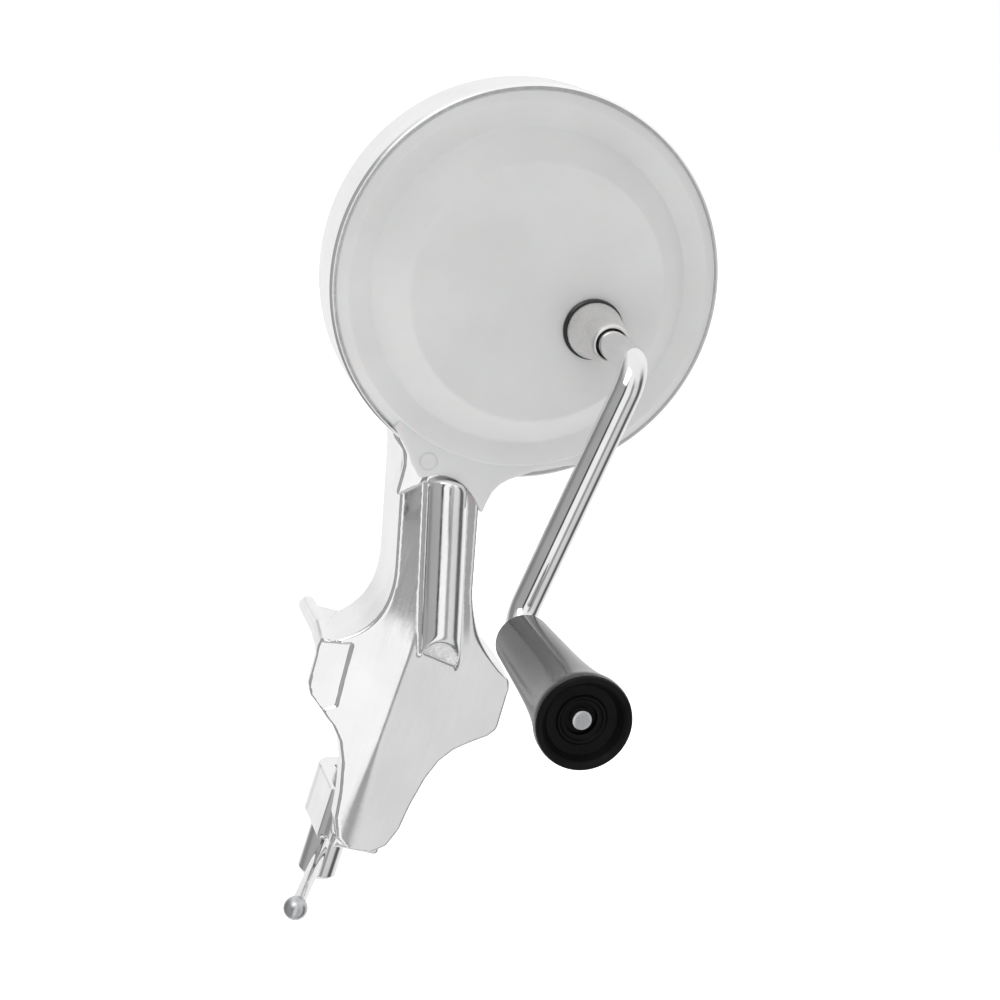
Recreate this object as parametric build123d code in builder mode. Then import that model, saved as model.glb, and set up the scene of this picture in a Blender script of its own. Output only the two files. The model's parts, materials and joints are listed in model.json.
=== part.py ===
import os
from math import acos, atan2, cos, degrees, pi, radians, sin, tan

from build123d import *

os.makedirs("parts", exist_ok=True)

# Origin: the middle of the upper jaw's clamping face, on the clamp screw's axis.
# X runs across the jaw, Y away from the crank side, Z up. Sizes are in millimetres.

# Drum housing and cover
DRUM_X = -4.7
DRUM_Y = -35.0  # plane of the rim's back edge
DRUM_Z = 118.0
RIM_R = 56.0
WALL_R = 55.7
WALL = 2.4
RIM_FRONT = -3.2
DRUM_BACK = 20.0
BACK_WALL = 3.0
COVER_R = 54.1
COVER_RING_R = 44.6
COVER_TOP_R = 36.3
COVER_RING_Y = -5.8
COVER_TOP_Y = -15.4
COVER_WALL = 2.0
TAB_T = 2.4
RIVET_X = -17.4
RIVET_Z = 62.8
RIVET_R = 2.5
RIVET_SHANK_R = 1.5

# Gear train
MODULE = 1.125
DRIVE_TEETH = 56
PINION_TEETH = 14
FACE_Y = 1.0
FACE_W = 6.0
HUB_PIN_Y = FACE_Y + FACE_W + 2.2
CRANK_X = DRUM_X + 18.0
CRANK_Z = DRUM_Z - 5.4
TRAIN_ANGLE = 163.3
CENTRES = MODULE * (DRIVE_TEETH + PINION_TEETH) / 2
SPIN_X = CRANK_X + CENTRES * cos(radians(TRAIN_ANGLE))
SPIN_Z = CRANK_Z + CENTRES * sin(radians(TRAIN_ANGLE))

# Crank and grip
ROD_R = 4.0
RUN = 0.05  # radial clearance of a running fit
ARM_Y = -60.0
ARM_DX = -9.8
ARM_DZ = -77.1
BEND_R = 10.0
GRIP_NEAR = -69.0
GRIP_END = -131.0
GRIP_R = 12.3
GRIP_NECK_R = 7.5
GRIP_PIN_R = 2.5

# Winding head
APEX_Y = 74.0
TILT = 28.0
FIXED_TEETH = 19
CONE_TEETH = 20
FIXED_CONE = degrees(atan2(sin(radians(TILT)), CONE_TEETH / FIXED_TEETH + cos(radians(TILT))))
PLANET_CONE = TILT - FIXED_CONE
FIXED_LARGE = 47.0
BEVEL_FACE = 6.2
SHAFT_R = 4.0
CONE_AXLE_R = 3.0
CONE_BASE_R = 16.0
CONE_TIP_R = 11.5
CONE_LEN = 63.5
CONE_START = 26.5

# Neck and clamp
LEAN = 15.5
COLUMN_R = 5.9
COLUMN_Y = DRUM_Y - 2.3
COLUMN_LEN = 48.1
HEAD_X = -8.6  # round head of the column, under the cover's tab
HEAD_Z = 48.2
HEAD_ROUND_R = 10.2
JAW_HALF = 29.4
JAW_BACK = 6.0
THROAT = 44.5
RIDGE = 2.6
RIDGE_X = -4.8
APRON = 6.0
BOSS_H = 16.3
BOSS_R = 9.4
SCREW_R = 4.0
HEAD_R = 6.0
HEAD_H = 19.0
BAR_R = 1.9
BAR_SPAN = 67.3
BAR_OUT = 57.5
BAR_TURN = 19.0
BALL_R = 3.5
BAR_DROP = 9.6  # cross hole below the boss

LOWER = -THROAT - BOSS_H


def front(y, x=DRUM_X, z=DRUM_Z):
    """Plane that faces the crank side, with its own x to +X and y to +Z."""
    return Plane((x, DRUM_Y + y, z), x_dir=(1, 0, 0), z_dir=(0, -1, 0))


def beside(x, z):
    """Plane through a drum-direction axis, with its own x to +Y and y to +Z."""
    return Plane((x, DRUM_Y, z), x_dir=(0, 1, 0), z_dir=(1, 0, 0))


def along(x, z):
    """Axis through (x, z) running away from the crank side."""
    return Axis((x, DRUM_Y, z), (0, 1, 0))


def outline(points):
    """Closed polygon on the current sketch, in its own coordinates."""
    Polygon(*points, align=None)


def save(builder, label):
    builder.part.label = label
    export_step(builder.part, f"parts/{label}.step")


def involute(angle):
    return tan(angle) - angle


def gear_points(teeth, module, phase, addendum, dedendum, backlash, cone=0.0):
    """Outline of a toothed wheel with one tooth centred on the phase angle."""
    flat = cos(radians(cone))
    pitch_r = teeth * module / 2
    virtual = pitch_r / flat
    base_r = virtual * cos(radians(20))
    half = module * pi / 4 / virtual - backlash / 2 / virtual + involute(radians(20))
    root = virtual - dedendum * module
    tip = virtual + addendum * module
    low = max(base_r, root)
    radii = [root] + [low + (tip - low) * i / 5 for i in range(6)]
    flank = []
    for r in radii:
        used = max(r, base_r)
        spread = (half - involute(acos(base_r / used))) / flat
        flank.append((r * flat + (pitch_r - virtual * flat), spread))
    points = []
    for tooth in range(teeth):
        middle = radians(phase) + 2 * pi * tooth / teeth
        for r, spread in flank:
            points.append((r * cos(middle - spread), r * sin(middle - spread)))
        for r, spread in reversed(flank):
            points.append((r * cos(middle + spread), r * sin(middle + spread)))
    return points


# ---------------------------------------------------------------- frame
# Housing, leaning neck and C clamp are one casting.
with BuildPart() as body_casting:
    with BuildSketch(beside(DRUM_X, DRUM_Z)):
        outline(
            [
                (RIM_FRONT, WALL_R - WALL),
                (RIM_FRONT, RIM_R),
                (0, RIM_R),
                (0, WALL_R),
                (DRUM_BACK - 2.5, WALL_R),
                (DRUM_BACK, WALL_R - 2.5),
                (DRUM_BACK, 0),
                (DRUM_BACK - BACK_WALL, 0),
                (DRUM_BACK - BACK_WALL, WALL_R - WALL),
            ]
        )
    revolve(axis=along(DRUM_X, DRUM_Z))
    # bearing bosses on the back wall
    with BuildSketch(front(DRUM_BACK - BACK_WALL + 0.5, CRANK_X, CRANK_Z)):
        Circle(9)
    extrude(amount=6)
    with BuildSketch(front(25, SPIN_X, SPIN_Z)):
        Circle(9)
    extrude(amount=16.5)
    # neck, spread by large fillets where it meets the jaw
    left = [(-23.6, 64), (-20.3, 52), (-14.4, 27.5), (-14.2, 20.5), (-16.2, 15), (-20.5, 10.6)]
    left += [(-26, 7), (-15, 4)]
    right = [(15, 4), (25, 6.5), (19.5, 10.4), (14.2, 15.4), (11.2, 21.5), (5.6, 42), (3.2, 52), (3.5, 66)]
    with BuildSketch(front(DRUM_BACK, 0, 0)):
        outline(left + right)
    extrude(amount=DRUM_BACK)
    # raised shoulder under the cover's tab
    with BuildSketch(front(0, 0, 0)):
        outline(
            [(-26.2, 66.2), (-24.5, 63.7), (-23.3, 61), (-22.8, 56.6), (-22.6, 52.1), (-22, 50.1),
             (-16.6, 55.1), (-12, 60), (-4, 60), (2, 63)]
        )
    extrude(amount=-RIM_FRONT)
    # jaw: a wide plate with drooping ends, tapered towards its back
    jaw = [(11.5, 8), (15.0, 6.4), (28.1, 2.1), (29.0, 0)]
    with BuildSketch(front(JAW_BACK - DRUM_Y, 0, 0)):
        outline(jaw + [(-x, z) for x, z in reversed(jaw)])
    extrude(amount=JAW_BACK - DRUM_Y)
    with BuildSketch(Plane.YZ.offset(-JAW_HALF)):
        outline([(-10, 5.5), (JAW_BACK + 1, 1.2), (JAW_BACK + 1, 12), (-14.5, 12), (-14.5, 8)])
    extrude(amount=2 * JAW_HALF, mode=Mode.SUBTRACT)
    # end cheeks carry the jaw's plate to its back edge
    for side in (-1, 1):
        with BuildSketch(Plane.YZ.offset(side * (JAW_HALF - 1.5) - 1.5)):
            outline(
                [(DRUM_Y + 1, -4), (DRUM_Y + 1, 2), (-6, 4.5), (JAW_BACK - 2, 4.5), (JAW_BACK, 2.5), (JAW_BACK, 0)]
            )
        extrude(amount=3)
    # apron and spine
    half = [(11.5, 9.5), (15.0, 6.4), (28.1, 2.1), (29.4, -4), (28.7, -11.5), (27.0, -14.1), (20.1, -19.2)]
    half += [(15.4, -24.2), (11.9, -33.0), (10.4, -47.9), (7.4, -53.4), (2.0, -56.2)]
    with BuildSketch(front(APRON, 0, 0)):
        outline(half + [(-x, z) for x, z in reversed(half)])
    extrude(amount=APRON + RIDGE)
    with BuildSketch(Plane.XY.offset(LOWER)):
        outline(
            [(-32, DRUM_Y - 12), (-32, DRUM_Y + 2), (RIDGE_X, DRUM_Y - RIDGE), (32, DRUM_Y + 3.6),
             (32, DRUM_Y - 12)]
        )
    extrude(amount=9.5 - LOWER, mode=Mode.SUBTRACT)
    # half-round column up the neck, with a wider head and a sloping foot
    column = Plane((4.6, COLUMN_Y, 5), x_dir=(0, 1, 0), z_dir=(-sin(radians(LEAN)), 0, cos(radians(LEAN))))
    with BuildSketch(column):
        Circle(COLUMN_R)
        with Locations((2, 0)):
            Rectangle(4, 2 * COLUMN_R)
    extrude(amount=COLUMN_LEN)
    with Locations(column.offset(COLUMN_LEN)):
        Sphere(COLUMN_R)
    with BuildSketch(front(0, HEAD_X, HEAD_Z)):
        Circle(HEAD_ROUND_R)
        with Locations(Location((-10.2, -3), LEAN)):
            Rectangle(6.5, 30, mode=Mode.SUBTRACT)
        with Locations(Location((10.6, 2), LEAN)):
            Rectangle(6.5, 30, mode=Mode.SUBTRACT)
    extrude(amount=-RIM_FRONT + TAB_T - 0.2)
    with BuildSketch(Plane.YZ.offset(-8)):
        outline([(DRUM_Y - 11, 17.4), (DRUM_Y - 11, -6), (DRUM_Y - 2.7, -6), (DRUM_Y - 2.7, 7)])
    extrude(amount=24, mode=Mode.SUBTRACT)
    with BuildSketch(Plane.XY.offset(LOWER)):
        outline([(-9.4, DRUM_Y + 4), (-9.4, DRUM_Y + 14), (9.4, DRUM_Y + 14), (9.4, DRUM_Y + 4)])
    extrude(amount=THROAT + BOSS_H + 4)
    # lower arm with the screw boss
    with BuildSketch(Plane.XY.offset(LOWER)):
        with Locations((0, (DRUM_Y + 6) / 2)):
            Rectangle(2 * BOSS_R, -DRUM_Y - 6)
        Circle(BOSS_R)
    extrude(amount=BOSS_H)
    with BuildSketch(Plane.XY.offset(LOWER)):
        Circle(SCREW_R + RUN)
    extrude(amount=BOSS_H, mode=Mode.SUBTRACT)
    # recess in the apron's left end
    with BuildSketch(front(2.4, 0, 0)):
        outline([(-20.6, 3.6), (-34, 1), (-34, -24), (-19.6, -15.2)])
    extrude(amount=8, mode=Mode.SUBTRACT)
    # drum interior is cleared where the neck's top runs into it
    with BuildSketch(front(DRUM_BACK - BACK_WALL)):
        Circle(WALL_R - WALL)
        with Locations((SPIN_X - DRUM_X, SPIN_Z - DRUM_Z), (CRANK_X - DRUM_X, CRANK_Z - DRUM_Z)):
            Circle(9, mode=Mode.SUBTRACT)
    extrude(amount=DRUM_BACK, mode=Mode.SUBTRACT)
    # bores for the bushes, the cover screw, the fixed wheel's screws and the guide
    with BuildSketch(front(25, SPIN_X, SPIN_Z)):
        Circle(6)
    extrude(amount=30, mode=Mode.SUBTRACT)
    with BuildSketch(front(DRUM_BACK - 2, CRANK_X, CRANK_Z)):
        Circle(6)
    extrude(amount=20, mode=Mode.SUBTRACT)
    with BuildSketch(front(RIM_FRONT, RIVET_X, RIVET_Z)):
        Circle(RIVET_SHANK_R)
    extrude(amount=RIM_FRONT - 7, mode=Mode.SUBTRACT)
    with BuildSketch(front(25, SPIN_X, SPIN_Z)):
        with Locations((-7.5, 0), (7.5, 0)):
            Circle(0.8)
    extrude(amount=6, mode=Mode.SUBTRACT)
    with BuildSketch(front(DRUM_BACK, DRUM_X + 38, DRUM_Z - 12)):
        with Locations((0, 7.5), (0, -7.5)):
            Circle(1.25)
    extrude(amount=BACK_WALL, mode=Mode.SUBTRACT)
save(body_casting, "body_casting")

# Moulded cover: dished shell with a register lip and a tab over the neck.
with BuildPart() as gear_cover:
    inner = WALL_R - WALL - 0.2
    with BuildSketch(beside(DRUM_X, DRUM_Z)):
        outline(
            [
                (RIM_FRONT, COVER_R),
                (COVER_RING_Y, COVER_R - 2.8),
                (COVER_RING_Y, COVER_RING_R),
                (COVER_TOP_Y, COVER_TOP_R),
                (COVER_TOP_Y, 0),
                (COVER_TOP_Y + COVER_WALL, 0),
                (COVER_TOP_Y + COVER_WALL, COVER_TOP_R - 0.7),
                (COVER_RING_Y + COVER_WALL, COVER_RING_R - 0.9),
                (COVER_RING_Y + COVER_WALL, inner - 1.8),
                (-0.4, inner - 1.8),
                (-0.4, inner),
                (RIM_FRONT, inner),
            ]
        )
    revolve(axis=along(DRUM_X, DRUM_Z))
    with BuildSketch(front(RIM_FRONT, 0, 0)):
        outline(
            [(-31.6, 67.6), (-27.2, 66.4), (-24.6, 64.6), (-22.8, 62.9), (-21.2, 60.6), (-18.2, 57.6),
             (-15.6, 58.6), (-11.1, 59.8), (-8.3, 59.5), (-5.9, 58.7), (-3.7, 57.6), (-1.5, 56), (0.5, 54),
             (1.8, 52.2), (2.5, 52.2), (2.9, 55.6), (3.6, 58.8), (5, 61.3), (7.1, 63.3), (9.8, 65.1),
             (16.1, 69.2), (26.8, 73), (22, 80), (-26, 80)]
        )
        with Locations((DRUM_X, DRUM_Z)):
            Circle(COVER_R - 4, mode=Mode.SUBTRACT)
    extrude(amount=TAB_T)
    with BuildSketch(front(COVER_TOP_Y + 1, CRANK_X, CRANK_Z)):
        Circle(10)
    extrude(amount=-4)
    with BuildSketch(front(COVER_TOP_Y - 1, CRANK_X, CRANK_Z)):
        Circle(6)
    extrude(amount=-8, mode=Mode.SUBTRACT)
    with BuildSketch(front(RIM_FRONT - TAB_T, RIVET_X, RIVET_Z)):
        Circle(RIVET_R + 0.1)
    extrude(amount=-1.2, mode=Mode.SUBTRACT)
    with BuildSketch(front(RIM_FRONT - TAB_T, RIVET_X, RIVET_Z)):
        Circle(RIVET_SHANK_R + 0.1)
    extrude(amount=-TAB_T, mode=Mode.SUBTRACT)
save(gear_cover, "gear_cover")

# Push rivet through the cover's tab, its head flush in a counterbore.
with BuildPart() as cover_rivet:
    with BuildSketch(front(RIM_FRONT - TAB_T, RIVET_X, RIVET_Z)):
        Circle(RIVET_R)
    extrude(amount=-1.2)
    with BuildSketch(front(RIM_FRONT - TAB_T, RIVET_X, RIVET_Z)):
        Circle(RIVET_SHANK_R)
    extrude(amount=-TAB_T - 9)
save(cover_rivet, "cover_rivet")

# Flanged bush: carries the crank in the cover and shows as the ring at its foot.
with BuildPart() as hub_bush:
    with BuildSketch(front(COVER_TOP_Y - 1.2, CRANK_X, CRANK_Z)):
        Circle(8.6)
    extrude(amount=-1.2)
    with BuildSketch(front(COVER_TOP_Y, CRANK_X, CRANK_Z)):
        Circle(6)
    extrude(amount=-5.5)
    with BuildSketch(front(COVER_TOP_Y - 2, CRANK_X, CRANK_Z)):
        Circle(ROD_R + RUN)
    extrude(amount=-9, mode=Mode.SUBTRACT)
save(hub_bush, "hub_bush")

# Blind bush in the back wall for the crank's inner end.
with BuildPart() as rear_bush:
    with BuildSketch(front(DRUM_BACK - 2, CRANK_X, CRANK_Z)):
        Circle(6)
    extrude(amount=6)
    with BuildSketch(front(DRUM_BACK - 3, CRANK_X, CRANK_Z)):
        Circle(ROD_R + RUN)
    extrude(amount=6, mode=Mode.SUBTRACT)
save(rear_bush, "rear_bush")

# ---------------------------------------------------------------- crank
# One bent bar: shaft through the gear, arm down the front, short leg into the grip.
GRIP_X = CRANK_X + ARM_DX
GRIP_Z = CRANK_Z + ARM_DZ
with BuildPart() as crank_rod:
    with BuildLine():
        FilletPolyline(
            (CRANK_X, DRUM_Y + DRUM_BACK - 3.5, CRANK_Z),
            (CRANK_X, DRUM_Y + ARM_Y, CRANK_Z),
            (GRIP_X, DRUM_Y + ARM_Y, GRIP_Z),
            (GRIP_X, DRUM_Y + GRIP_NEAR + 0.3, GRIP_Z),
            radius=8.5,
        )
    with BuildSketch(front(DRUM_BACK - 3.5, CRANK_X, CRANK_Z)):
        Circle(ROD_R)
    sweep()
    with BuildSketch(front(GRIP_NEAR, GRIP_X, GRIP_Z)):
        Circle(GRIP_PIN_R)
    extrude(amount=-7, mode=Mode.SUBTRACT)
    with BuildSketch(Plane((CRANK_X, DRUM_Y - 22, CRANK_Z), x_dir=(0, 1, 0), z_dir=(1, 0, 0))):
        with Locations((0, 0), (22 + HUB_PIN_Y, 0)):
            Circle(1.25)
    extrude(amount=10, both=True, mode=Mode.SUBTRACT)
save(crank_rod, "crank_rod")

# Tapered collar on the crank, against the ring.
with BuildPart() as crank_ferrule:
    with BuildSketch(beside(CRANK_X, CRANK_Z)):
        outline([(-16.7, ROD_R), (-16.7, 7.4), (-17.3, 7.9), (-33.6, 5.3), (-34.6, 4.6), (-34.6, ROD_R)])
    revolve(axis=along(CRANK_X, CRANK_Z))
    with BuildSketch(Plane((CRANK_X, DRUM_Y - 22, CRANK_Z), x_dir=(0, 1, 0), z_dir=(1, 0, 0))):
        Circle(1.25)
    extrude(amount=10, both=True, mode=Mode.SUBTRACT)
save(crank_ferrule, "crank_ferrule")

hub_pin_plane = Plane((CRANK_X, DRUM_Y + HUB_PIN_Y, CRANK_Z), x_dir=(0, 1, 0), z_dir=(1, 0, 0))

# Spring pins through the collar and through the drive wheel's hub.
with BuildPart() as crank_pins:
    with BuildSketch(Plane((CRANK_X, DRUM_Y - 22, CRANK_Z), x_dir=(0, 1, 0), z_dir=(1, 0, 0))):
        Circle(1.25)
    extrude(amount=6.6, both=True)
    with BuildSketch(hub_pin_plane):
        Circle(1.25)
    extrude(amount=8.4, both=True)
save(crank_pins, "crank_pins")

# Drive wheel: toothed rim, thin web, long hub.
with BuildPart() as drive_gear:
    with BuildSketch(front(FACE_Y + FACE_W, CRANK_X, CRANK_Z)):
        outline(gear_points(DRIVE_TEETH, MODULE, TRAIN_ANGLE, 0.85, 1.15, 0.2))
    extrude(amount=FACE_W)
    with BuildSketch(front(FACE_Y + 2, CRANK_X, CRANK_Z), front(FACE_Y + FACE_W, CRANK_X, CRANK_Z)):
        Circle(27)
    extrude(amount=2, mode=Mode.SUBTRACT)
    with BuildSketch(front(11.2, CRANK_X, CRANK_Z)):
        Circle(8.4)
    extrude(amount=19)
    with BuildSketch(front(FACE_Y + FACE_W, CRANK_X, CRANK_Z)):
        with PolarLocations(18, 5):
            Circle(4.5)
    extrude(amount=FACE_W, mode=Mode.SUBTRACT)
    with BuildSketch(front(12, CRANK_X, CRANK_Z)):
        Circle(ROD_R)
    extrude(amount=25, mode=Mode.SUBTRACT)
    with BuildSketch(hub_pin_plane):
        Circle(1.25)
    extrude(amount=10, both=True, mode=Mode.SUBTRACT)
save(drive_gear, "drive_gear")

# Grip: flared handle, hollow at its open end, turning on a fixed pin.
with BuildPart() as grip:
    with BuildSketch(beside(GRIP_X, GRIP_Z)):
        outline(
            [
                (GRIP_NEAR, 3.2),
                (GRIP_NEAR, 6.6),
                (GRIP_NEAR - 1, GRIP_NECK_R),
                (GRIP_NEAR - 20, 8.3),
                (GRIP_NEAR - 40, 9.4),
                (GRIP_NEAR - 50, 10.5),
                (GRIP_END + 4, GRIP_R),
                (GRIP_END + 1, GRIP_R),
                (GRIP_END, GRIP_R - 1.2),
                (GRIP_END, GRIP_R - 2.4),
                (GRIP_END + 3.5, GRIP_R - 3.4),
                (GRIP_END + 3.5, 6.2),
                (GRIP_END + 1.5, 5.6),
                (GRIP_END + 1.5, 4.3),
                (GRIP_END + 5, 4.3),
                (GRIP_END + 5, GRIP_PIN_R + RUN),
                (GRIP_NEAR - 2.2, GRIP_PIN_R + RUN),
                (GRIP_NEAR - 2.2, 3.2),
            ]
        )
    revolve(axis=along(GRIP_X, GRIP_Z))
save(grip, "grip")

# Grip pin, riveted into the bent bar, its head sunk in the grip's end.
with BuildPart() as grip_pin:
    with BuildSketch(front(GRIP_NEAR + 6.2, GRIP_X, GRIP_Z)):
        Circle(GRIP_PIN_R)
    extrude(amount=GRIP_NEAR + 6.2 - GRIP_END - 2.4)
    with BuildSketch(front(GRIP_END + 4.3, GRIP_X, GRIP_Z)):
        Circle(3.9)
    extrude(amount=1.9)
save(grip_pin, "grip_pin")

# ---------------------------------------------------------------- winding head
APEX = (SPIN_X, DRUM_Y + APEX_Y, SPIN_Z)
OUT = (0, cos(radians(TILT)), -sin(radians(TILT)))


def across(distance):
    """Plane square to the cone's axis, at a distance from the crossing point."""
    centre = (APEX[0], APEX[1] + OUT[1] * distance, APEX[2] + OUT[2] * distance)
    return Plane(centre, x_dir=(1, 0, 0), z_dir=OUT)


cone_side = Plane(APEX, x_dir=OUT, z_dir=(1, 0, 0))
cone_line = Axis(APEX, OUT)

# Output shaft, from the small wheel to the rotor, grooved for its clip.
with BuildPart() as spindle_shaft:
    with BuildSketch(front(41.4, SPIN_X, SPIN_Z)):
        Circle(SHAFT_R)
    extrude(amount=42.9)
    with BuildSketch(front(0.4, SPIN_X, SPIN_Z)):
        Circle(SHAFT_R)
        Circle(3.4, mode=Mode.SUBTRACT)
    extrude(amount=0.8, mode=Mode.SUBTRACT)
save(spindle_shaft, "spindle_shaft")

with BuildPart() as spindle_clip:
    with BuildSketch(front(0.4, SPIN_X, SPIN_Z)):
        Circle(6.2)
        Circle(3.4, mode=Mode.SUBTRACT)
        with Locations((0, -5)):
            Rectangle(4.4, 6, mode=Mode.SUBTRACT)
    extrude(amount=0.8)
save(spindle_clip, "spindle_clip")

# Small wheel pressed on the shaft.
with BuildPart() as spindle_pinion:
    with BuildSketch(front(FACE_Y + FACE_W + 0.4, SPIN_X, SPIN_Z)):
        outline(gear_points(PINION_TEETH, MODULE, TRAIN_ANGLE + 180 + 180 / PINION_TEETH, 0.85, 1.15, 0.2))
    extrude(amount=FACE_W + 0.6)
    with BuildSketch(front(FACE_Y + FACE_W + 1, SPIN_X, SPIN_Z)):
        Circle(SHAFT_R)
    extrude(amount=FACE_W + 2, mode=Mode.SUBTRACT)
save(spindle_pinion, "spindle_pinion")

with BuildPart() as spindle_bush:
    with BuildSketch(front(25, SPIN_X, SPIN_Z)):
        Circle(6)
        Circle(SHAFT_R + RUN, mode=Mode.SUBTRACT)
    extrude(amount=16.5)
save(spindle_bush, "spindle_bush")

# Fixed bevel wheel, held on the boss by two screws. It doesn't turn.
fixed_near = front(APEX_Y - FIXED_LARGE, SPIN_X, SPIN_Z)
fixed_far = front(APEX_Y - FIXED_LARGE + BEVEL_FACE, SPIN_X, SPIN_Z)
fixed_module = 2 * FIXED_LARGE * tan(radians(FIXED_CONE)) / FIXED_TEETH
fixed_points = gear_points(FIXED_TEETH, fixed_module, 90, 0.75, 1.1, 0.3, FIXED_CONE)
fixed_scale = (FIXED_LARGE - BEVEL_FACE) / FIXED_LARGE
with BuildPart() as fixed_bevel:
    with BuildSketch(fixed_near):
        outline(fixed_points)
    with BuildSketch(fixed_far):
        outline([(x * fixed_scale, y * fixed_scale) for x, y in fixed_points])
    loft(ruled=True)
    with BuildSketch(fixed_near):
        Circle(9)
    extrude(amount=2)
    with BuildSketch(fixed_far):
        Circle(5.2)
        with Locations((-7.5, 0), (7.5, 0)):
            Circle(0.8)
    extrude(amount=9, mode=Mode.SUBTRACT)
save(fixed_bevel, "fixed_bevel")

with BuildPart() as bevel_screws:
    with BuildSketch(fixed_far):
        with Locations((-7.5, 0), (7.5, 0)):
            Circle(0.8)
    extrude(amount=12)
save(bevel_screws, "bevel_screws")

# Rotor: hub, arm with the tilted bearing, and a balance weight opposite.
with BuildPart() as rotor:
    with BuildSketch(front(41.4, SPIN_X, SPIN_Z)):
        Circle(8)
    extrude(amount=6.8)
    with BuildSketch(front(40.6, SPIN_X, SPIN_Z)):
        Circle(22)
        Circle(7, mode=Mode.SUBTRACT)
        with Locations((0, 15)):
            Rectangle(50, 30, mode=Mode.SUBTRACT)
    extrude(amount=5)
    with BuildSketch(Plane((SPIN_X - 5, DRUM_Y, SPIN_Z), x_dir=(0, 1, 0), z_dir=(1, 0, 0))):
        outline([(34.6, 0), (34.6, 7.4), (39.4, 18.1), (46.5, 14.3), (41.4, 6), (41.4, 0)])
    extrude(amount=10)
    with BuildSketch(across(-39)):
        Circle(7)
    extrude(amount=11.5)
    with BuildSketch(across(-40)):
        Circle(CONE_AXLE_R + RUN)
    extrude(amount=14, mode=Mode.SUBTRACT)
    with BuildSketch(front(42, SPIN_X, SPIN_Z)):
        Circle(SHAFT_R)
    extrude(amount=9, mode=Mode.SUBTRACT)
    with BuildSketch(Plane((SPIN_X, DRUM_Y + 38, SPIN_Z))):
        Circle(1.5)
    extrude(amount=-9, mode=Mode.SUBTRACT)
save(rotor, "rotor")

# Grub screw that locks the rotor to the shaft.
with BuildPart() as rotor_screw:
    with BuildSketch(Plane((SPIN_X, DRUM_Y + 38, SPIN_Z - 7.6))):
        Circle(1.5)
    extrude(amount=3.6)
    with BuildSketch(Plane((SPIN_X, DRUM_Y + 38, SPIN_Z - 7.6))):
        RegularPolygon(0.85, 6)
    extrude(amount=1.6, mode=Mode.SUBTRACT)
save(rotor_screw, "rotor_screw")

# ---------------------------------------------------------------- yarn cone
# Cone bevel wheel, rolling round the fixed one.
PLANET_LARGE = FIXED_LARGE / cos(radians(FIXED_CONE)) * cos(radians(PLANET_CONE))
PLANET_FACE = BEVEL_FACE * PLANET_LARGE / FIXED_LARGE
planet_module = 2 * PLANET_LARGE * tan(radians(PLANET_CONE)) / CONE_TEETH
planet_points = gear_points(CONE_TEETH, planet_module, 90 + 180 / CONE_TEETH, 0.75, 1.1, 0.3, PLANET_CONE)
planet_scale = (PLANET_LARGE - PLANET_FACE) / PLANET_LARGE
with BuildPart() as cone_bevel:
    with BuildSketch(across(-PLANET_LARGE)):
        outline(planet_points)
    with BuildSketch(across(PLANET_FACE - PLANET_LARGE)):
        outline([(x * planet_scale, y * planet_scale) for x, y in planet_points])
    loft(ruled=True)
    with BuildSketch(across(-PLANET_LARGE)):
        Circle(6)
    extrude(amount=PLANET_LARGE - 39.3)
    with BuildSketch(across(-PLANET_LARGE - 1)):
        Circle(CONE_AXLE_R)
    extrude(amount=20, mode=Mode.SUBTRACT)
save(cone_bevel, "cone_bevel")

with BuildPart() as cone_axle:
    with BuildSketch(across(-PLANET_LARGE)):
        Circle(CONE_AXLE_R)
    extrude(amount=PLANET_LARGE - CONE_START + CONE_LEN + 2)
save(cone_axle, "cone_axle")

# Moulded cone: thin wall, hub tube, base web and a slot that holds the yarn's end.
with BuildPart() as yarn_cone:
    tip = CONE_LEN - CONE_START
    with BuildSketch(cone_side):
        outline(
            [
                (-CONE_START, CONE_AXLE_R),
                (-CONE_START, CONE_BASE_R - 0.8),
                (-CONE_START + 0.8, CONE_BASE_R),
                (-CONE_START + 2.6, CONE_BASE_R),
                (-CONE_START + 3.4, CONE_BASE_R - 1.4),
                (tip - 3.6, CONE_TIP_R - 0.2),
                (tip - 2.4, CONE_TIP_R + 0.8),
                (tip - 0.6, CONE_TIP_R + 0.8),
                (tip, CONE_TIP_R),
                (tip, CONE_TIP_R - 1.6),
                (-CONE_START + 2.6, CONE_BASE_R - 3.2),
                (-CONE_START + 2.6, 5.2),
                (tip - 4, 5.2),
                (tip - 4, CONE_AXLE_R),
            ]
        )
    revolve(axis=cone_line)
    with BuildSketch(across(tip)):
        with Locations((0, CONE_TIP_R)):
            Rectangle(2.2, 8)
    extrude(amount=-13, mode=Mode.SUBTRACT)
    with BuildSketch(across(2.4 - CONE_START)):
        for turn in range(4):
            with PolarLocations(9.2, 1, start_angle=45 + 90 * turn):
                Rectangle(8.6, 1.2)
    extrude(amount=12)
save(yarn_cone, "yarn_cone")

with BuildPart() as cone_nut:
    with BuildSketch(across(tip - 3.9)):
        Circle(6)
    extrude(amount=0.8)
    with BuildSketch(across(tip - 3.1)):
        RegularPolygon(4.6, 6)
    extrude(amount=4)
    with BuildSketch(across(tip - 5)):
        Circle(CONE_AXLE_R)
    extrude(amount=12, mode=Mode.SUBTRACT)
save(cone_nut, "cone_nut")

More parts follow.
